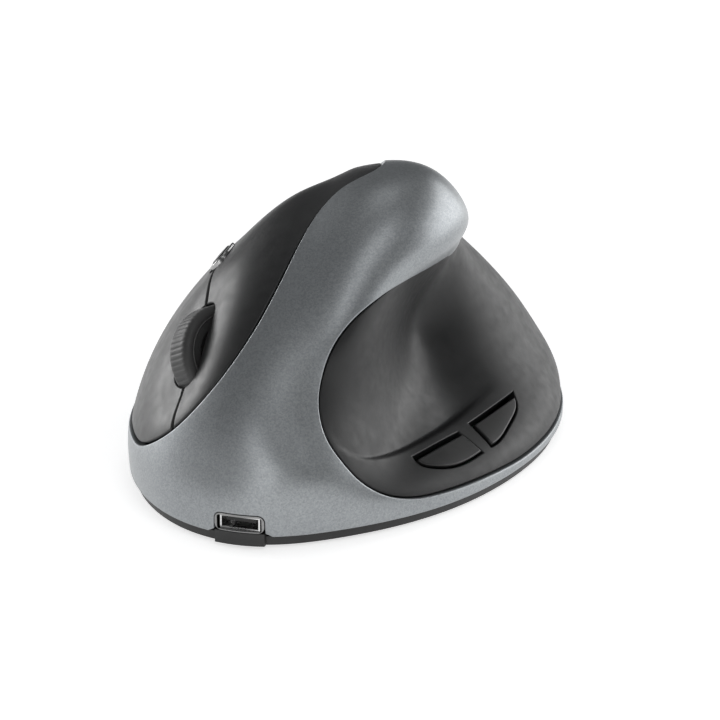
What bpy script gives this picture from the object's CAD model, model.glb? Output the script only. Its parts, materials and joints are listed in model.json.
import json
import math

import bpy
import numpy as np
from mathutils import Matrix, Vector
from mathutils.geometry import delaunay_2d_cdt


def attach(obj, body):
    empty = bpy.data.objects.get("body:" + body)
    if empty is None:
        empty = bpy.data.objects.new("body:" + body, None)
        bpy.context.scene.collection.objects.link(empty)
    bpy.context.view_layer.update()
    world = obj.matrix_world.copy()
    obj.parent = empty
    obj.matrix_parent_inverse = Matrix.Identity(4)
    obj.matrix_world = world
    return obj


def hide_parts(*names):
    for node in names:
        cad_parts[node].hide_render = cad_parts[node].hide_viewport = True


# Upright wireless computer mouse. Blender works in metres; the surface tables below are in
# millimetres, the same as in the CAD source.
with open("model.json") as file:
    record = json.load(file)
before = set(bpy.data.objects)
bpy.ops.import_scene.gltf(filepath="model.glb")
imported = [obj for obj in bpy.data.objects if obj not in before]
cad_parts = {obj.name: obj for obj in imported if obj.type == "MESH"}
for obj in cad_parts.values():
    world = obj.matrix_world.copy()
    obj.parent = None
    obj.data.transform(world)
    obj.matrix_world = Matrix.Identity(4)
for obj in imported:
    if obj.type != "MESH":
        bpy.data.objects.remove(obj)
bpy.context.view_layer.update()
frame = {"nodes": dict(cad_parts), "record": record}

MM = 0.001
CENTRE_SHIFT = (0.53, -0.23)
AXIS_Y = 5.0             # the vertical axis that the bearings turn about
# Half sections of the body: (distance from the axis, height) by bearing in degrees
PROFILES = {
    -90: [(58.2, 2.5), (58.4, 8), (57.2, 14.5), (53.6, 23),
          (48.0, 31.5), (41.0, 39.5), (32.0, 47.0), (20.0, 53.3)],
    -75: [(52.6, 2.5), (53.4, 8), (51.8, 14), (46.5, 20.5),
          (43.8, 28), (42.6, 36), (35.0, 46.5), (22.5, 55.2)],
    -63: [(48.0, 2.5), (48.0, 7.2), (42.4, 12.3), (36.0, 18.5),
          (32.8, 28), (35.2, 38.8), (34.0, 47), (23.5, 56.6)],
    -48: [(43.4, 2.5), (42.0, 7), (35.2, 12), (25.5, 18.3),
          (21.8, 28.5), (28.0, 40.3), (31.2, 48), (22.5, 57.4)],
    -32: [(39.9, 2.5), (38.5, 7), (31.0, 12), (20.3, 18.5),
          (16.6, 28.5), (24.2, 41), (28.0, 48.6), (20.5, 57.3)],
    -15: [(38.0, 2.5), (36.7, 7), (29.5, 12.2), (19.7, 19),
          (16.2, 29), (21.4, 41), (24.6, 48.2), (18.0, 55.6)],
    5: [(38.0, 2.5), (36.9, 7.2), (31.2, 12.8), (23.8, 20.5),
        (19.8, 29.8), (19.8, 39.6), (20.4, 45.6), (15.5, 52.0)],
    30: [(40.6, 2.5), (40.2, 7.8), (36.4, 14), (31.0, 22),
         (25.8, 30), (21.4, 36.9), (17.6, 42.3), (13.5, 47.0)],
    60: [(46.2, 2.5), (46.3, 8), (43.6, 14.5), (38.6, 21.6),
         (32.8, 28), (26.6, 34), (20.0, 39.6), (13.5, 44.4)],
    95: [(48.8, 2.5), (49.0, 8), (46.8, 14.5), (42.3, 21),
         (36.4, 27), (29.5, 33), (21.7, 38.7), (14.0, 43.6)],
    135: [(43.8, 2.5), (44.3, 8), (42.4, 14.5), (38.2, 21),
          (32.8, 27.4), (26.6, 33.4), (19.8, 39.2), (13.4, 44.0)],
    180: [(38.4, 2.5), (38.9, 8), (37.8, 14.5), (34.4, 22),
          (29.4, 29.5), (23.6, 36.3), (17.3, 42.2), (12.0, 46.2)],
    218: [(44.4, 2.5), (44.6, 8), (43.3, 14.5), (39.6, 22.8),
          (34.0, 31), (27.0, 38.5), (19.6, 44.8), (13.2, 48.8)],
    246: [(54.6, 2.5), (54.9, 8), (53.5, 14.5), (49.8, 23),
          (44.0, 31.5), (36.8, 39.5), (27.8, 46.4), (17.2, 51.8)],
}
CROWN_R = 7.0            # ring round the top point, with its height at each bearing
CROWN_Z = [54.9, 55.8, 56.2, 56.4, 56.2, 55.5, 54.2, 52.1, 50.0, 48.5, 47.9, 48.8, 51.0, 53.1]
POLE_Z = 52.5
# Seams between the shells, as (bearing, height fraction from the rim to the top)
KEY_SEAM = [
    (-130, .120), (-122, .127), (-114, .179), (-107.4, .249), (-100.4, .361), (-95.4, .500),
    (-92.5, .650), (-86.5, .768), (-77.5, .807), (-62, .827), (-40, .875), (-10, .935),
    (60, .965), (130, .925), (158, .840), (168, .720), (174, .560), (177, .400), (179, .270),
    (183, .170), (-172, .118), (-158, .105), (-143, .108),
]
PALM_SEAM = [
    (-12.4, .512), (3, .53), (15, .58), (24, .66), (33, .75), (50, .83), (85, .87), (120, .86),
    (145, .80), (156, .70), (160, .58), (162, .44), (163, .30), (163, .18), (160, .095),
    (152, .05), (138, .034), (115, .028), (90, .026), (60, .025), (30, .024), (10, .024),
    (-10, .025), (-20, .027), (-30, .032), (-38.5, .035), (-45.7, .038), (-52, .043),
    (-57.7, .052), (-62.6, .069), (-67, .095), (-71.2, .139), (-74.8, .201), (-77.3, .251),
    (-78.9, .302), (-79.5, .351), (-78.9, .425), (-77.3, .497), (-74.7, .540), (-71, .561),
    (-65.4, .566), (-58.2, .560), (-49.1, .558), (-40.4, .553), (-28, .537),
]
SPLIT_SEAM = [
    (-107, .10), (-109.5, .19), (-111, .25), (-112.6, .31), (-114.3, .36), (-116, .41),
    (-119, .47), (-126, .53), (-135.7, .56), (-150, .60), (-168, .63), (-184, .645), (-194, .665),
]
SEAM_KEYS, SEAM_PALM, SEAM_SPLIT = 0.55, 0.30, 0.50   # widths of the gaps
INSET = 0.45             # how far the dark shells sit below the grey frame
WALL, KEY_WALL, BUTTON_WALL = 2.0, 1.2, 1.6
RADIUS, PALM_RADIUS, BUTTON_RADIUS = 0.35, 0.25, 0.3   # rounding of the shells' edges
SPACING = 0.0155         # sides of the shells' triangles, in flat coordinates
PALM_SPACING = SPACING * 0.8
BUTTON_SPACING = 0.010
BUTTON_GAP = 0.45 + 0.3
BUTTON_STRIP = 0.6
BUTTON_PROUD = 0.35
SIDE_N = np.array([0.559413, -0.179811, 0.809151])
SIDE_DIR = [0.102255, 0.983701, 0.147905]
FORWARD_OUTLINE = [(22.2, -28.3, 11.0), (26.8, -14.6, 11.3), (31.8, -15.3, 7.9)]
FORWARD_CURVE = [(30.6, -19.3, 7.6), (29.0, -23.1, 7.7), (26.0, -27.2, 8.7), (23.5, -28.8, 10.0)]
BACK_OUTLINE = [(32.5, -12.7, 8.0), (27.5, -10.6, 11.5), (31.4, 5.6, 12.1)]
BACK_CURVE = [(32.9, 3.2, 10.5), (33.5, -1.2, 9.4), (33.5, -4.8, 8.8), (33.0, -11.0, 8.0)]
WHEEL_C = np.array([-13.4809, -30.8482, 26.6856])
WHEEL_DIR = np.array([0.037689, 0.715943, 0.697141])
WHEEL_AXIS = np.array([0.760932, -0.472767, 0.44438])
WHEEL_OUT = np.array([-0.647736, -0.513729, 0.562602])
WHEEL_R, WHEEL_W = 9.6, 6.0
WHEEL_SLOT = (17.4, 7.6)
TROUGH_DEPTH = 1.3
DPI_C = np.array([-18.7349, -14.3284, 39.9162])
DPI_DIR = np.array([-0.051971, 0.997612, 0.0455])
DPI_N = np.array([-0.7506, -0.069074, 0.657137])
DPI_HOLE = (9.4, 6.2)
PORT_X, PORT_Y, PORT_Z = -2.2, -53.0, 4.85
PORT_W, PORT_H, PORT_R = 9.5, 3.5, 1.3
RIM_Z, PORT_SILL = 2.5, 3.4
# Fold above the side buttons, as (bearing, height fraction)
CREASE = [
    (-77.4, .265), (-74.3, .227), (-70.1, .193), (-65.1, .182), (-60.6, .181), (-53.3, .183),
    (-44.6, .184), (-33.8, .186), (-20, .190), (-8, .196),
]


# Camera: the nose of the mouse seen a little from the thumb side and from above
AIM_RIGHT, AIM_UP = 0.002453, 0.01566


def place_camera(azimuth=18.0, elevation=21.0, distance=0.8, lens=212.0):
    a, e = math.radians(azimuth), math.radians(elevation)
    right = Vector((math.cos(a), math.sin(a), 0))
    up = Vector((-math.sin(a) * math.sin(e), math.cos(a) * math.sin(e), math.cos(e)))
    back = Vector((math.sin(a) * math.cos(e), -math.cos(a) * math.cos(e), math.sin(e)))
    target = right * AIM_RIGHT + up * AIM_UP + Vector(CENTRE_SHIFT).to_3d() * MM
    data = bpy.data.cameras.new("camera")
    data.lens = lens
    data.sensor_width = 36.0
    data.clip_start = 0.05
    camera = bpy.data.objects.new("camera", data)
    bpy.context.scene.collection.objects.link(camera)
    camera.location = target + back * distance
    camera.rotation_mode = "QUATERNION"
    camera.rotation_quaternion = back.to_track_quat("Z", "Y")
    bpy.context.scene.camera = camera


place_camera()


# Surface of the body
def spline_slopes(knots, values, period=None):
    """Second derivatives of the cubic spline through values, natural or periodic."""
    n = len(knots)
    wrap = period is not None
    ends = np.append(knots, knots[0] + period) if wrap else knots
    h = np.diff(ends)
    rows = range(n) if wrap else range(1, n - 1)
    m = np.zeros((n, n)) if wrap else np.eye(n)
    rhs = np.zeros_like(values)
    for i in rows:
        before, after = values[i - 1], values[(i + 1) % n]
        m[i, (i - 1) % n] += h[i - 1]
        m[i, i] = 2 * (h[i - 1] + h[i])
        m[i, (i + 1) % n] += h[i]
        rhs[i] = 6 * ((after - values[i]) / h[i] - (values[i] - before) / h[i - 1])
    return np.linalg.solve(m, rhs.reshape(n, -1)).reshape(values.shape), h


def surface_net():
    bearings = sorted(PROFILES)
    rows = [PROFILES[b] + [(CROWN_R, z), (0.0, POLE_Z)] for b, z in zip(bearings, CROWN_Z)]
    net = np.array(rows, float)
    steps = np.linalg.norm(np.diff(net, axis=1), axis=2).mean(0) ** 0.75
    levels = np.concatenate([[0], np.cumsum(steps)])
    return np.array(bearings, float), net, levels / levels[-1]


BEARINGS, NET, LEVELS = surface_net()
NET_SLOPES, NET_STEPS = spline_slopes(BEARINGS, NET, 360.0)


def spline_piece(low, high, slope_low, slope_high, f, h):
    """Cubic spline piece at fraction f of a span of width h."""
    g = 1 - f
    return g * low + f * high + ((g ** 3 - g) * slope_low + (f ** 3 - f) * slope_high) * h * h / 6


def surface(flat):
    """Surface points from flat coordinates, which are smooth across the pole."""
    bearing = np.degrees(np.arctan2(flat[:, 1], flat[:, 0]))
    level = np.clip(1 - np.hypot(flat[:, 0], flat[:, 1]), 0, 1)
    turned = (bearing - BEARINGS[0]) % 360 + BEARINGS[0]
    i = np.clip(np.searchsorted(BEARINGS, turned, side="right") - 1, 0, len(BEARINGS) - 1)
    j = (i + 1) % len(BEARINGS)
    h = NET_STEPS[i][:, None, None]
    f = (turned - BEARINGS[i])[:, None, None] / h
    curve = spline_piece(NET[i], NET[j], NET_SLOPES[i], NET_SLOPES[j], f, h)
    curve = np.swapaxes(curve, 0, 1)
    slopes, steps = spline_slopes(LEVELS, curve)
    k = np.clip(np.searchsorted(LEVELS, level, side="right") - 1, 0, len(LEVELS) - 2)
    n = np.arange(len(level))
    h = steps[k][:, None]
    f = (level - LEVELS[k])[:, None] / h
    rz = spline_piece(curve[k, n], curve[k + 1, n], slopes[k, n], slopes[k + 1, n], f, h)
    a = np.radians(bearing)
    x = CENTRE_SHIFT[0] + rz[:, 0] * np.cos(a)
    y = CENTRE_SHIFT[1] + AXIS_Y + rz[:, 0] * np.sin(a)
    return np.stack([x, y, rz[:, 1]], -1)


def frame_at(flat, shape=surface):
    """Points, outward normals and the two derivatives of a surface function."""
    e = 2e-3
    reach = 0.9975       # keeps the differences inside the rim
    held = flat * np.minimum(1, (reach / np.maximum(np.hypot(*flat.T), 1e-9)))[:, None]
    dx = (shape(held + [e, 0]) - shape(held - [e, 0])) / (2 * e)
    dy = (shape(held + [0, e]) - shape(held - [0, e])) / (2 * e)
    normal = np.cross(dx, dy)
    normal /= np.linalg.norm(normal, axis=1, keepdims=True)
    return shape(flat), normal, dx, dy


def flat_of(places):
    b, t = np.radians([p[0] for p in places]), np.array([p[1] for p in places])
    return np.stack([(1 - t) * np.cos(b), (1 - t) * np.sin(b)], -1)


def resample(flat, count, closed):
    """Evenly spread points of a smooth line through points in flat coordinates."""
    ring = np.concatenate([flat, flat[:1]]) if closed else flat
    run = np.concatenate([[0], np.cumsum(np.linalg.norm(np.diff(ring, axis=0), axis=1))])
    knots = run[:-1] if closed else run
    slopes, h = spline_slopes(knots, flat, run[-1] if closed else None)
    s = np.linspace(0, run[-1], count, endpoint=not closed)
    i = np.clip(np.searchsorted(knots, s, side="right") - 1, 0, len(h) - 1)
    j = (i + 1) % len(flat)
    f = ((s - knots[i]) / h[i])[:, None]
    return spline_piece(flat[i], flat[j], slopes[i], slopes[j], f, h[i][:, None])


NEWTON_STEPS = 8


def project(targets, start, along=None):
    """Flat coordinates of the surface points under targets, straight down or along a line."""
    flat = start.copy()
    for _ in range(NEWTON_STEPS):
        points, _, dx, dy = frame_at(flat)
        jac = np.stack([dx, dy], -1)
        miss = targets - points
        if along is not None:
            miss = miss - np.outer(miss @ along, along)
            jac = jac - along[None, :, None] * np.einsum("i,nij->nj", along, jac)[:, None, :]
        square = np.einsum("nij,nik->njk", jac, jac)
        pull = np.einsum("nij,ni->nj", jac, miss)
        flat = flat + np.linalg.solve(square, pull[..., None])[..., 0]
    return flat


def shifted(flat, amount, closed=True):
    """A line moved sideways over the surface; a positive amount goes to its left."""
    points, normals, _, _ = frame_at(flat)
    if closed:
        along = np.roll(points, -1, 0) - np.roll(points, 1, 0)
    else:
        along = np.gradient(points, axis=0)
    side = np.cross(normals, along)
    side /= np.linalg.norm(side, axis=1, keepdims=True)
    return project(points + side * amount, flat)


def inside(polygon, pts):
    """Which flat points lie inside a closed polygon."""
    result = np.zeros(len(pts), bool)
    x, y = pts[:, 0], pts[:, 1]
    for (x0, y0), (x1, y1) in zip(polygon, np.roll(polygon, -1, 0)):
        if y0 == y1:
            continue
        crossing = ((y0 > y) != (y1 > y)) & (x < (x1 - x0) * (y - y0) / (y1 - y0) + x0)
        result ^= crossing
    return result


def distance_to_line(points, line, closed=True):
    """Distance of each point from a line through points."""
    start = line if closed else line[:-1]
    step = (np.roll(line, -1, 0) if closed else line[1:]) - start
    square = np.sum(step * step, axis=1)
    best = np.full(len(points), 1e9)
    for a, d, q in zip(start, step, square):
        rel = points - a
        f = np.clip(rel @ d / q, 0, 1)
        gap = rel - f[:, None] * d
        best = np.minimum(best, np.einsum("ij,ij->i", gap, gap))
    return np.sqrt(best)


def smooth_step(value, low, high):
    f = np.clip((value - low) / (high - low), 0, 1)
    return f * f * (3 - 2 * f)


# Seams and openings in flat coordinates, all running anticlockwise seen from outside
def anticlockwise(flat):
    x, y = flat.T
    area = np.sum(x * np.roll(y, -1) - np.roll(x, -1) * y)
    return flat if area > 0 else flat[::-1].copy()


KEY_LOOP = anticlockwise(resample(flat_of(KEY_SEAM), 260, True))
PALM_LOOP = anticlockwise(resample(flat_of(PALM_SEAM), 420, True))
SPLIT_LINE = resample(flat_of(SPLIT_SEAM), 110, False)
WHEEL_FLAT = flat_of([(-115.6, .402)])
DPI_FLAT = flat_of([(-135.7, .56)])


def rounded_slot(centre, along, normal, length, width, start, grow=0.0, count=16):
    """Slot with round ends, drawn on the surface, in flat coordinates."""
    across = np.cross(normal, along)
    half, r = (length - width) / 2, width / 2 + grow
    turn = np.linspace(-math.pi / 2, math.pi / 2, count)
    far = [(half + r * math.cos(t), r * math.sin(t)) for t in turn]
    near = [(-half - r * math.cos(t), -r * math.sin(t)) for t in turn]
    side = np.linspace(-half, half, 20)[1:-1]
    ring = far + [(s, r) for s in side[::-1]] + near + [(s, -r) for s in side]
    targets = np.array([centre + along * u + across * v for u, v in ring])
    guess = np.repeat(start, len(targets), 0)
    return anticlockwise(project(targets, guess, along=normal))


def inward(step, origin, centre):
    """Unit vector square to step that points from origin's side towards the centre."""
    side = np.array([-step[1], step[0]])
    return side if side @ (centre - origin) >= 0 else -side


def moved_edge(a, b, amount, centre):
    """The straight edge from a to b moved towards the centre, as a point and a direction."""
    step = (b - a) / np.linalg.norm(b - a)
    return a + inward(step, a, centre) * amount, step


def moved_curve(curve, amount, centre):
    """The bowed edge moved towards the centre."""
    tangent = np.gradient(curve, axis=0)
    tangent /= np.linalg.norm(tangent, axis=1, keepdims=True)
    side = np.stack([-tangent[:, 1], tangent[:, 0]], -1)
    flip = np.sign(np.sum(side * (centre - curve), axis=1))[:, None]
    return curve + side * flip * amount


def meet(p, d, q, e):
    """Where the line through p along d meets the line through q along e."""
    k = np.linalg.solve(np.stack([d, -e], -1), q - p)
    return p + d * k[0]


def lens_outline(corners, curve, shrink=0.0, strip=0.0, straight=(0, 1)):
    """Outline of a side button: two straight edges and a bowed one, on the surface."""
    across = np.cross(SIDE_N, SIDE_DIR)
    along = np.cross(across, SIDE_N)
    axes = np.stack([along, across], -1)
    corner = np.array(corners) @ axes
    bow = resample(np.array([corners[2]] + curve + [corners[0]]) @ axes, 34, False)
    centre = np.concatenate([corner, bow]).mean(0)
    lines = []
    for a, b in ((0, 1), (1, 2)):
        amount = shrink + (strip if (a, b) == straight else 0.0)
        lines.append(moved_edge(corner[a], corner[b], amount, centre))
    bow = moved_curve(bow, shrink, centre)
    for origin, step in lines:
        bow = bow[(bow - origin) @ inward(step, origin, centre) > 1e-6]
    knee = meet(*lines[0], *lines[1])
    last = meet(bow[-1], bow[-1] - bow[-2], *lines[0])
    first = meet(bow[0], bow[0] - bow[1], *lines[1])
    ring = []
    for a, b in ((last, knee), (knee, first)):
        steps = max(2, int(np.linalg.norm(b - a) / 0.7))
        ring += [a + (b - a) * k / steps for k in range(steps)]
    ring = np.array(ring + [first] + list(bow))
    depth = np.array(corners) @ SIDE_N
    targets = ring @ axes.T + SIDE_N * depth.mean()
    guess = np.repeat(flat_of([(-30, .12)]), len(targets), 0)
    return anticlockwise(project(targets, guess, along=SIDE_N))


CREASE_TABLE = np.array(CREASE)
CREASE_SLOPES, CREASE_STEPS = spline_slopes(CREASE_TABLE[:, 0], CREASE_TABLE[:, 1])
LEVEL_REACH = 72.0       # millimetres of surface for a height fraction of 1
FOLD_DEPTH = 1.6
FOLD_RISE = (-0.6, 1.0)  # the step of the fold, in millimetres above its line
PALM_POINTS = surface(PALM_LOOP)
KEY_POINTS = surface(KEY_LOOP)


def crease_level(bearing):
    """Height fraction of the fold at each bearing."""
    knots = CREASE_TABLE[:, 0]
    i = np.clip(np.searchsorted(knots, bearing, side="right") - 1, 0, len(knots) - 2)
    h = CREASE_STEPS[i]
    f = np.clip((bearing - knots[i]) / h, 0, 1)
    lows, highs = CREASE_TABLE[i, 1], CREASE_TABLE[i + 1, 1]
    return spline_piece(lows, highs, CREASE_SLOPES[i], CREASE_SLOPES[i + 1], f, h)


def crease_depth(flat, points):
    """How far the thumb hollow drops behind the shelf that carries the side buttons."""
    bearing = np.degrees(np.arctan2(flat[:, 1], flat[:, 0]))
    rise = (1 - np.hypot(*flat.T) - crease_level(bearing)) * LEVEL_REACH
    ends = smooth_step(bearing, -80, -56) * (1 - smooth_step(bearing, -34, 2))
    fall = np.exp(-np.maximum(rise, 0) / 4.5)
    edge = distance_to_line(points, PALM_POINTS)
    step = smooth_step(rise, *FOLD_RISE) * smooth_step(edge, 0, 2.5)
    return -FOLD_DEPTH * ends * step * fall


def wheel_trough(flat, points):
    """Shallow trough round the wheel that opens towards the nose."""
    rel = points - WHEEL_C
    along, across = rel @ WHEEL_DIR, rel @ WHEEL_AXIS
    width = 6.5 - 0.05 * along
    lengthwise = 1 - smooth_step(along, 6.0, 17.0)
    edge = distance_to_line(points, KEY_POINTS)
    depth = np.exp(-(across / width) ** 2) * lengthwise * smooth_step(edge, 0.5, 8.0)
    return -TROUGH_DEPTH * depth


def palm_surface(flat):
    base, normal, _, _ = frame_at(flat)
    return base + normal * (crease_depth(flat, base) - INSET)[:, None]


def key_surface(flat):
    base, normal, _, _ = frame_at(flat)
    return base + normal * (wheel_trough(flat, base) - INSET)[:, None]


def button_surface(flat):
    base, normal, _, _ = frame_at(flat)
    return base + normal * (BUTTON_PROUD - INSET)


# Shell meshes
def grid_points(spacing):
    rows = np.arange(-1, 1 + spacing, spacing * math.sqrt(3) / 2)
    pts = []
    for k, y in enumerate(rows):
        xs = np.arange(-1, 1 + spacing, spacing) + (k % 2) * spacing / 2
        pts.append(np.stack([xs, np.full_like(xs, y)], -1))
    return np.concatenate(pts)


def triangles(outer, holes, extra, spacing):
    """Triangles of the flat region inside outer and outside the holes."""
    loops = [outer] + holes
    pts = grid_points(spacing)
    low, high = outer.min(0) - spacing, outer.max(0) + spacing
    pts = pts[np.all((pts > low) & (pts < high), axis=1)]
    gap = np.min([distance_to_line(pts, loop) for loop in loops]
                 + [distance_to_line(pts, line, False) for line in extra], axis=0)
    pts = pts[gap > spacing * 0.55]
    coords = [Vector(p) for p in pts]
    edges = []
    for loop, closed in [(p, True) for p in loops] + [(p, False) for p in extra]:
        first = len(coords)
        coords += [Vector(p) for p in loop]
        count = len(loop)
        spans = count if closed else count - 1
        edges += [(first + k, first + (k + 1) % count) for k in range(spans)]
    verts, _, faces, _, _, _ = delaunay_2d_cdt(coords, edges, [], 0, 1e-7)
    flat = np.array([tuple(v) for v in verts])
    faces = np.array(faces)
    middle = flat[faces].mean(1)
    keep = inside(outer, middle)
    for hole in holes:
        keep &= ~inside(hole, middle)
    return flat, faces[keep]


def one_part(flat, faces, seed):
    """The connected part of a triangulation that lies nearest to a flat point."""
    label = np.arange(len(flat))
    while True:
        low = label[faces].min(1)
        new = label.copy()
        for k in range(3):
            np.minimum.at(new, faces[:, k], low)
        if np.array_equal(new, label):
            break
        label = new
    middle = flat[faces].mean(1)
    wanted = label[faces[np.linalg.norm(middle - seed, axis=1).argmin(), 0]]
    return faces[label[faces[:, 0]] == wanted]


def boundary_loops(faces):
    """Closed loops of border vertices, with the region on their left."""
    edges = {}
    for a, b, c in faces:
        for p, q in ((a, b), (b, c), (c, a)):
            if (q, p) in edges:
                del edges[(q, p)]
            else:
                edges[(p, q)] = True
    after = {p: q for p, q in edges}
    loops = []
    while after:
        start, here = next(iter(after.items()))
        loop = [start]
        del after[start]
        while here != start:
            loop.append(here)
            here = after.pop(here)
        loops.append(loop)
    return loops


def unit(vectors):
    return vectors / np.maximum(np.linalg.norm(vectors, axis=1, keepdims=True), 1e-9)


def rim_directions(points, normals):
    """Outward directions at a rim, and the same with their length adjusted at corners."""
    ahead = unit(np.roll(points, -1, 0) - points)
    behind = unit(points - np.roll(points, 1, 0))
    out = unit(np.cross(ahead + behind, normals))
    cosine = np.sqrt(np.clip((1 + np.sum(ahead * behind, axis=1)) / 2, 0.25, 1))
    return out, out / cosine[:, None]


def band(last, new):
    """Quads between two rings of vertices."""
    count = len(last)
    quads = []
    for m in range(count):
        q = (m + 1) % count
        quads.append((last[q], last[m], new[m], new[q]))
    return quads


def add_rim(ids, points, normals, radius, wall, verts, shade, polys):
    """Rounded rim and side wall that join the outer skin to the inner skin."""
    rings = 4
    count = len(points)
    p, n = points[ids], normals[ids]
    out, miter = rim_directions(p, n)
    last = ids
    for k in range(1, rings + 2):
        turn = math.pi / 2 * min(k / rings, 1)
        drop = radius * (1 - math.cos(turn)) if k <= rings else wall - 0.1
        total = sum(len(part) for part in verts)
        verts.append(p + miter * radius * math.sin(turn) - n * drop)
        shade.append(n * math.cos(turn) + out * math.sin(turn))
        new = np.arange(total, total + len(ids))
        polys += band(last, new)
        last = new
    polys += band(last, ids + count)


def shell_mesh(name, flat, faces, shape, radius=RADIUS, wall=WALL):
    """Closed shell over a triangulation: outer skin, rounded rims and inner skin."""
    used = np.unique(faces)
    index = np.full(len(flat), -1)
    index[used] = np.arange(len(used))
    flat, faces = flat[used], index[faces]
    points, normals, _, _ = frame_at(flat, shape)
    if normals[:, 2].mean() < 0:
        normals = -normals
    a, b, c = (points[faces[:, k]] for k in range(3))
    if np.sum(np.cross(b - a, c - a) * normals[faces[:, 0]]) < 0:
        faces = faces[:, ::-1]
    verts, shade = [points, points - normals * wall], [normals, -normals]
    count = len(points)
    polys = [tuple(f) for f in faces] + [tuple(f[::-1] + count) for f in faces]
    for loop in boundary_loops(faces):
        add_rim(np.array(loop), points, normals, radius, wall, verts, shade, polys)
    mesh = bpy.data.meshes.new(name)
    corners = (np.concatenate(verts) * MM).tolist()
    mesh.from_pydata(corners, [], [tuple(map(int, f)) for f in polys])
    mesh.shade_smooth()
    mesh.normals_split_custom_set_from_vertices(unit(np.concatenate(shade)).tolist())
    piece = bpy.data.objects.new(name, mesh)
    bpy.context.scene.collection.objects.link(piece)
    return piece


def port_outline(grow):
    """Outline of the charging port's opening in the frame, open at the lower rim."""
    half, top, r = PORT_W / 2 + grow, PORT_H / 2 + grow, PORT_R + grow
    ring = [(PORT_X + half, RIM_Z), (PORT_X + half, PORT_SILL)]
    turns = [math.pi / 2 * k / 8 for k in range(9)]
    for t in turns:
        ring.append((PORT_X + half - r + r * math.cos(t), PORT_Z + top - r + r * math.sin(t)))
    ring += [(PORT_X + (half - r) * s, PORT_Z + top) for s in (.6, .3, 0, -.3, -.6)]
    for t in turns:
        ring.append((PORT_X - half + r - r * math.sin(t), PORT_Z + top - r + r * math.cos(t)))
    ring += [(PORT_X - half, PORT_SILL), (PORT_X - half, RIM_Z)]
    targets = np.array([(x, PORT_Y, z) for x, z in ring])
    guess = np.repeat(flat_of([(-92, .05)]), len(targets), 0)
    return project(targets, guess, along=np.array([0.0, 1.0, 0.0]))


RIM_REACH = 75.0         # millimetres of surface for a height fraction of 1, near the rim


def frame_outline():
    """Lower rim of the frame with the notch for the charging port."""
    notch = port_outline(RADIUS)
    a0, a1 = np.arctan2(notch[0, 1], notch[0, 0]), np.arctan2(notch[-1, 1], notch[-1, 0])
    sweep = np.linspace(a0, a1 + 2 * math.pi, 330)[1:-1]
    reach = 1 - RADIUS / RIM_REACH
    arc = np.stack([reach * np.cos(sweep), reach * np.sin(sweep)], -1)
    notch = notch[np.hypot(*notch.T) < reach]
    return np.concatenate([arc, notch[::-1]])


def slot_and_hole(grow):
    slot = rounded_slot(WHEEL_C, WHEEL_DIR, WHEEL_OUT, *WHEEL_SLOT, WHEEL_FLAT, grow)
    hole = rounded_slot(DPI_C, DPI_DIR, DPI_N, *DPI_HOLE, DPI_FLAT, grow)
    return slot, hole


def split_band(half):
    left = shifted(SPLIT_LINE, half, closed=False)
    right = shifted(SPLIT_LINE, -half, closed=False)
    return np.concatenate([left, right[::-1]])


def fold_line(rise, holes):
    """A line at a height above the fold, clear of the palm shell's edges."""
    bearing = np.linspace(CREASE[0][0], CREASE[-1][0], 150)
    reach = 1 - crease_level(bearing) - rise / LEVEL_REACH
    turn = np.radians(bearing)
    line = np.stack([reach * np.cos(turn), reach * np.sin(turn)], -1)
    points = surface(line)
    clear = distance_to_line(points, PALM_POINTS) > 2.2
    for hole in holes:
        clear &= distance_to_line(points, surface(hole)) > 0.4
    return line[clear]


def frame_skin():
    key_out = shifted(KEY_LOOP, -(SEAM_KEYS / 2 + RADIUS))
    palm_out = shifted(PALM_LOOP, -(SEAM_PALM / 2 + RADIUS))
    flat, faces = triangles(frame_outline(), [key_out, palm_out], [], SPACING)
    faces = one_part(flat, faces, flat_of([(-90, .15)])[0])
    return shell_mesh("frame_skin", flat, faces, surface)


def key_skins():
    """The two main keys, cut out of one outline by the split between them."""
    key_in = shifted(KEY_LOOP, SEAM_KEYS / 2 + RADIUS)
    slot, hole = slot_and_hole(RADIUS)
    split = split_band(SEAM_SPLIT / 2 + RADIUS)
    flat, faces = triangles(key_in, [slot, hole, split], [], SPACING)
    skins = {}
    for name, place in (("left_key", (-118, .62)), ("right_key", (-145, .38))):
        part = one_part(flat, faces, flat_of([place])[0])
        skins[name] = shell_mesh(name + "_skin", flat, part, key_surface, wall=KEY_WALL)
    return skins


def palm_skin():
    palm_in = shifted(PALM_LOOP, SEAM_PALM / 2 + RADIUS)
    holes = [lens_outline(FORWARD_OUTLINE, FORWARD_CURVE, -PALM_RADIUS),
             lens_outline(BACK_OUTLINE, BACK_CURVE, -PALM_RADIUS)]
    rises = (FOLD_RISE[0], sum(FOLD_RISE) / 2, FOLD_RISE[1])
    folds = [fold_line(rise, holes) for rise in rises]
    flat, faces = triangles(palm_in, holes, folds, PALM_SPACING)
    return shell_mesh("palm_skin", flat, faces, palm_surface, PALM_RADIUS)


def button_skin(name, corners, curve, top):
    ring = lens_outline(corners, curve, BUTTON_GAP, BUTTON_STRIP, top)
    flat, faces = triangles(ring, [], [], BUTTON_SPACING)
    return shell_mesh(name, flat, faces, button_surface, BUTTON_RADIUS, BUTTON_WALL)


def build_shells():
    """The outer shells by the name of the node that each stands for."""
    return {
        "frame_shell": frame_skin(),
        **key_skins(),
        "palm_shell": palm_skin(),
        "forward_button": button_skin(
            "forward_button_skin", FORWARD_OUTLINE, FORWARD_CURVE, (0, 1)),
        "back_button": button_skin(
            "back_button_skin", BACK_OUTLINE, BACK_CURVE, (1, 2)),
    }


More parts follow.
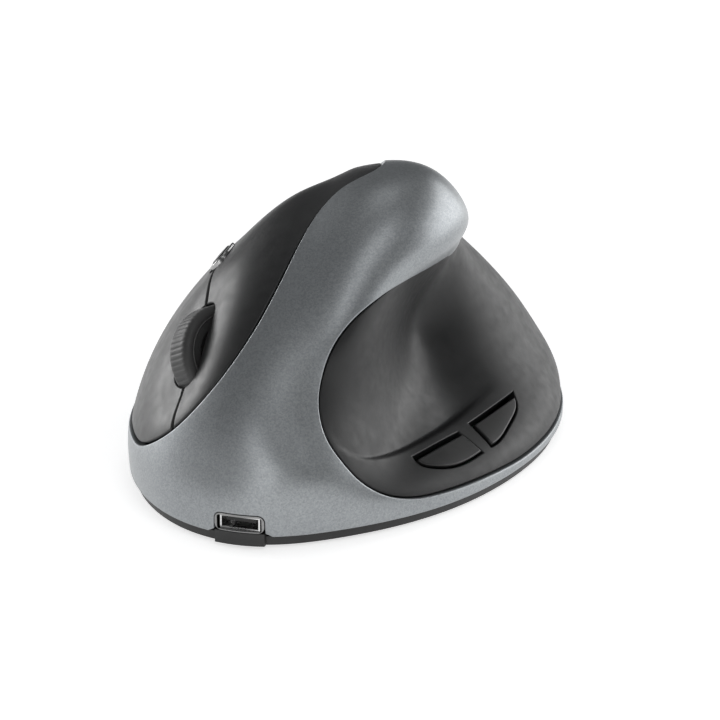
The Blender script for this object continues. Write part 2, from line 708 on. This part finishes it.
SHELLS = build_shells()
BODY_OF = {"frame_shell": "chassis", "palm_shell": "chassis"}
for node, piece in SHELLS.items():
    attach(piece, BODY_OF.get(node, node))
    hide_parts(node)


# Materials
class Nodes:
    """Short names for the nodes of one material."""

    def __init__(self, name):
        self.material = bpy.data.materials.new(name)
        self.material.use_nodes = True
        self.tree = self.material.node_tree
        self.shader = self.tree.nodes["Principled BSDF"]
        self.place = self.add("ShaderNodeTexCoord").outputs["Object"]

    def add(self, kind, **values):
        node = self.tree.nodes.new(kind)
        for key, value in values.items():
            setattr(node, key, value)
        return node

    def link(self, source, target):
        self.tree.links.new(source, target)

    def noise(self, scale, detail=2.0, rough=0.5):
        node = self.add("ShaderNodeTexNoise")
        node.inputs["Scale"].default_value = scale
        node.inputs["Detail"].default_value = detail
        node.inputs["Roughness"].default_value = rough
        self.link(self.place, node.inputs["Vector"])
        return node.outputs["Fac"]

    def cells(self, scale):
        node = self.add("ShaderNodeTexVoronoi")
        node.inputs["Scale"].default_value = scale
        self.link(self.place, node.inputs["Vector"])
        return node.outputs

    def ramp(self, value, low, high, at=(0.35, 0.65)):
        node = self.add("ShaderNodeValToRGB")
        node.color_ramp.elements[0].position, node.color_ramp.elements[1].position = at
        node.color_ramp.elements[0].color = (*low, 1)
        node.color_ramp.elements[1].color = (*high, 1)
        self.link(value, node.inputs["Fac"])
        return node.outputs["Color"]

    def span(self, value, low, high, source=(0.3, 0.7)):
        node = self.add("ShaderNodeMapRange")
        node.inputs["From Min"].default_value, node.inputs["From Max"].default_value = source
        node.inputs["To Min"].default_value = low
        node.inputs["To Max"].default_value = high
        self.link(value, node.inputs["Value"])
        return node.outputs["Result"]

    def mix(self, factor, first, second, blend="MIX"):
        node = self.add("ShaderNodeMix", data_type="RGBA", blend_type=blend)
        sockets = (node.inputs[0], node.inputs[6], node.inputs[7])
        for socket, value in zip(sockets, (factor, first, second)):
            if isinstance(value, (int, float)):
                socket.default_value = value
            elif isinstance(value, tuple):
                socket.default_value = (*value, 1)
            else:
                self.link(value, socket)
        return node.outputs[2]

    def bump(self, height, distance, strength):
        node = self.add("ShaderNodeBump")
        node.inputs["Distance"].default_value = distance
        node.inputs["Strength"].default_value = strength
        self.link(height, node.inputs["Height"])
        return node.outputs["Normal"]

    def worn(self):
        """Bright on outer edges, dark in hollows."""
        return self.add("ShaderNodeNewGeometry").outputs["Pointiness"]


def silver_paint():
    """Metal flake paint under a thin clear coat."""
    n = Nodes("silver_paint")
    flakes = n.cells(4200)["Color"]
    split = n.add("ShaderNodeSeparateColor")
    n.link(flakes, split.inputs[0])
    cloud = n.noise(55, 3)
    grain = n.mix(0.5, split.outputs[0], n.noise(2600, 1))
    colour = n.ramp(grain, (0.262, 0.277, 0.286), (0.36, 0.378, 0.39), (0.2, 0.85))
    tone = n.ramp(cloud, (0.94, 0.94, 0.95), (1.05, 1.05, 1.05), (0.3, 0.7))
    colour = n.mix(1.0, colour, tone, "MULTIPLY")
    edge = n.span(n.worn(), 0.0, 0.35, (0.52, 0.62))
    n.link(n.mix(edge, colour, (0.55, 0.57, 0.59)), n.shader.inputs["Base Color"])
    n.shader.inputs["Metallic"].default_value = 0.72
    n.link(n.span(n.noise(900, 2), 0.38, 0.45), n.shader.inputs["Roughness"])
    n.shader.inputs["Coat Weight"].default_value = 0.12
    n.shader.inputs["Coat Roughness"].default_value = 0.16
    n.link(n.bump(split.outputs[1], 0.000006, 0.5), n.shader.inputs["Normal"])
    return n.material


def moulded(name, low, high, rough, grain=1500, depth=0.00002, spec=0.5, edge=0.12, sheen=0.0,
            metal=0.0, cloud=40):
    """Moulded plastic, rubber or plain metal with a fine eroded grain."""
    n = Nodes(name)
    colour = n.ramp(n.noise(cloud, 4), low, high, (0.3, 0.7))
    speck = n.ramp(n.noise(grain * 1.7, 1), (0.9, 0.9, 0.9), (1.08, 1.08, 1.08), (0.3, 0.7))
    colour = n.mix(1.0, colour, speck, "MULTIPLY")
    lift = tuple(min(1.0, c * 1.6 + 0.03) for c in high)
    colour = n.mix(n.span(n.worn(), 0.0, edge, (0.52, 0.62)), colour, lift)
    n.link(colour, n.shader.inputs["Base Color"])
    gloss = n.span(n.noise(grain * 0.2, 3), rough - 0.05, rough + 0.05)
    n.link(gloss, n.shader.inputs["Roughness"])
    n.shader.inputs["Specular IOR Level"].default_value = spec
    n.shader.inputs["Metallic"].default_value = metal
    if sheen:
        n.shader.inputs["Sheen Weight"].default_value = sheen
        n.shader.inputs["Sheen Roughness"].default_value = 0.4
    n.link(n.bump(n.noise(grain, 2, 0.6), depth, 0.6), n.shader.inputs["Normal"])
    return n.material


def grey(value, tint=0.0):
    return (value * (1 - tint), value, value * (1 + tint))


MATERIALS = {
    "silver_paint": silver_paint(),
    "soft_black": moulded("soft_black", grey(0.009, .03), grey(0.012, .03), 0.44, 2600, 0.000008,
                          0.42),
    "key_grey": moulded("key_grey", grey(0.013, .03), grey(0.017, .03), 0.4, 2400, 0.00001,
                        0.55),
    "button_black": moulded("button_black", grey(0.006), grey(0.009), 0.4, 2400, 0.00001, 0.5),
    "base_black": moulded("base_black", grey(0.012), grey(0.017), 0.46, 1300, 0.00003),
    "skate": moulded("skate", grey(0.05), grey(0.062), 0.32, 900, 0.00001),
    "rim": moulded("rim", grey(0.2), grey(0.26), 0.22, 1500, 0.000004, metal=1.0),
    "dark_chrome": moulded("dark_chrome", grey(0.34), grey(0.4), 0.16, 1500, 0.000002, metal=1.0),
    "steel": moulded("steel", grey(0.5), grey(0.58), 0.3, 1800, 0.000006, metal=1.0),
    "tin": moulded("tin", grey(0.62), grey(0.7), 0.26, 1400, 0.000006, metal=1.0),
    "tyre": moulded("tyre", grey(0.04), grey(0.052), 0.5, 2600, 0.00002, 0.4, sheen=0.2),
    "hub": moulded("hub", grey(0.03), grey(0.04), 0.3, 1500, 0.00001),
    "board": moulded("board", (0.01, 0.06, 0.03), (0.014, 0.09, 0.042), 0.35, 900, 0.00002),
    "chip": moulded("chip", grey(0.015), grey(0.02), 0.5, 1800, 0.00002),
    "frame_plastic": moulded("frame_plastic", grey(0.03), grey(0.04), 0.45, 1100, 0.00003),
    "white_plastic": moulded("white_plastic", (0.72, 0.71, 0.68), (0.78, 0.77, 0.74), 0.4),
    "lens": moulded("lens", grey(0.3), grey(0.36), 0.12, 1500, 0.000004),
    "red_lens": moulded("red_lens", (0.4, 0.02, 0.02), (0.5, 0.03, 0.03), 0.15, 1500, 0.000004),
    "foil": moulded("foil", grey(0.6), grey(0.68), 0.34, 500, 0.00006, metal=0.9),
    "tape": moulded("tape", (0.42, 0.38, 0.2), (0.5, 0.45, 0.25), 0.5, 700, 0.00003),
    "label": moulded("label", grey(0.5), grey(0.55), 0.45, 1500, 0.00001),
}


def paint(piece, slot):
    piece.data.materials.clear()
    piece.data.materials.append(MATERIALS[slot])


FINISH = {"port_bezel": "rim", "dpi_ring": "dark_chrome"}
SLOT_OF = {part["node"]: part["material_slot"] for part in frame["record"]["subparts"]}
for node, piece in frame["nodes"].items():
    paint(piece, FINISH.get(node, SLOT_OF[node]))
for node, piece in SHELLS.items():
    paint(piece, SLOT_OF[node])


# Wheel tyre: crowned rubber ring with fine grip ribs
TYRE_STEPS, RIBS, RIB_DEPTH = 480, 60, 0.1
TYRE_CROWN, TYRE_THICK = 1.4, 2.0


def tyre_section():
    """Section of the tyre, as (distance along the axle, distance from the axle)."""
    half, top = WHEEL_W / 2, WHEEL_R - TYRE_CROWN
    turns = [math.pi / 2 * k / 8 for k in range(17)]
    arc = [(TYRE_CROWN * math.cos(t), top + TYRE_CROWN * math.sin(t)) for t in turns]
    section = [(half - TYRE_CROWN + x, y) for x, y in arc[:9]]
    section += [(s, WHEEL_R) for s in (1.0, 0.5, 0.0, -0.5, -1.0)]
    section += [(-half + TYRE_CROWN + x, y) for x, y in arc[8:]]
    inner = WHEEL_R - TYRE_THICK
    return section + [(-half, inner), (half, inner)]


def tyre():
    section = tyre_section()
    grip_half = WHEEL_W / 2 - 0.5
    verts, faces = [], []
    for k in range(TYRE_STEPS):
        turn = 2 * math.pi * k / TYRE_STEPS
        wave = 0.5 - 0.5 * math.cos(turn * RIBS)
        for across, reach in section:
            middle = max(0, 1 - (across / grip_half) ** 4)
            grip = RIB_DEPTH * wave ** 2 * middle if reach > WHEEL_R - TYRE_THICK else 0
            r = reach - grip
            p = (WHEEL_C + WHEEL_AXIS * across + WHEEL_DIR * r * math.cos(turn)
                 + WHEEL_OUT * r * math.sin(turn))
            verts.append(tuple(p * MM))
    n = len(section)
    for k in range(TYRE_STEPS):
        after = (k + 1) % TYRE_STEPS
        for m in range(n):
            q = (m + 1) % n
            faces.append((k * n + m, after * n + m, after * n + q, k * n + q))
    mesh = bpy.data.meshes.new("tyre_skin")
    mesh.from_pydata(verts, [], faces)
    mesh.shade_smooth()
    mesh.update()
    piece = bpy.data.objects.new("tyre_skin", mesh)
    bpy.context.scene.collection.objects.link(piece)
    edge = piece.modifiers.new("edge", "WEIGHTED_NORMAL")
    edge.keep_sharp = True
    return piece


TYRE = tyre()
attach(TYRE, "wheel")
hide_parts("wheel_tyre")
paint(TYRE, "tyre")


# Floor and light
def floor():
    mesh = bpy.data.meshes.new("floor")
    mesh.from_pydata([(-4, -4, 0), (4, -4, 0), (4, 4, 0), (-4, 4, 0)], [], [(0, 1, 2, 3)])
    piece = bpy.data.objects.new("floor", mesh)
    bpy.context.scene.collection.objects.link(piece)
    n = Nodes("floor")
    tone = n.ramp(n.noise(3, 2), (0.86, 0.86, 0.86), (0.88, 0.88, 0.88))
    n.link(tone, n.shader.inputs["Base Color"])
    n.link(n.span(n.noise(40, 2), 0.6, 0.7), n.shader.inputs["Roughness"])
    n.shader.inputs["Specular IOR Level"].default_value = 0.2
    n.link(tone, n.shader.inputs["Emission Color"])
    n.shader.inputs["Emission Strength"].default_value = 0.75
    clear = n.add("ShaderNodeBsdfTransparent").outputs[0]
    back = n.add("ShaderNodeNewGeometry").outputs["Backfacing"]
    both = n.add("ShaderNodeMixShader")
    n.link(back, both.inputs[0])
    n.link(n.shader.outputs[0], both.inputs[1])
    n.link(clear, both.inputs[2])
    n.link(both.outputs[0], n.tree.nodes["Material Output"].inputs["Surface"])
    mesh.materials.append(n.material)


def soft_box(name, azimuth, elevation, distance, size, power):
    """Area light at a bearing round the mouse, aimed at its middle."""
    a, e = math.radians(azimuth), math.radians(elevation)
    away = Vector((math.sin(a) * math.cos(e), -math.cos(a) * math.cos(e), math.sin(e)))
    data = bpy.data.lights.new(name, "AREA")
    data.shape = "RECTANGLE"
    data.size, data.size_y = size
    data.energy = power
    light = bpy.data.objects.new(name, data)
    bpy.context.scene.collection.objects.link(light)
    light.location = Vector((0, 0, 0.025)) + away * distance
    light.rotation_mode = "QUATERNION"
    light.rotation_quaternion = away.to_track_quat("Z", "Y")


def studio():
    world = bpy.data.worlds.new("studio")
    bpy.context.scene.world = world
    world.use_nodes = True
    background = world.node_tree.nodes["Background"]
    background.inputs["Color"].default_value = (0.97, 0.985, 1.0, 1)
    background.inputs["Strength"].default_value = 0.15
    soft_box("left", -104, 13, 1.0, (0.55, 0.4), 4.0)
    soft_box("nose", 2, 12, 1.1, (0.35, 0.4), 1.4)
    soft_box("front", 42, 52, 1.1, (0.5, 0.4), 1.3)
    soft_box("rear", 132, 14, 1.0, (1.1, 0.6), 6.0)
    soft_box("top", 200, 78, 1.4, (0.8, 0.8), 1.4)
    bpy.context.scene.view_settings.view_transform = "Standard"


floor()
studio()
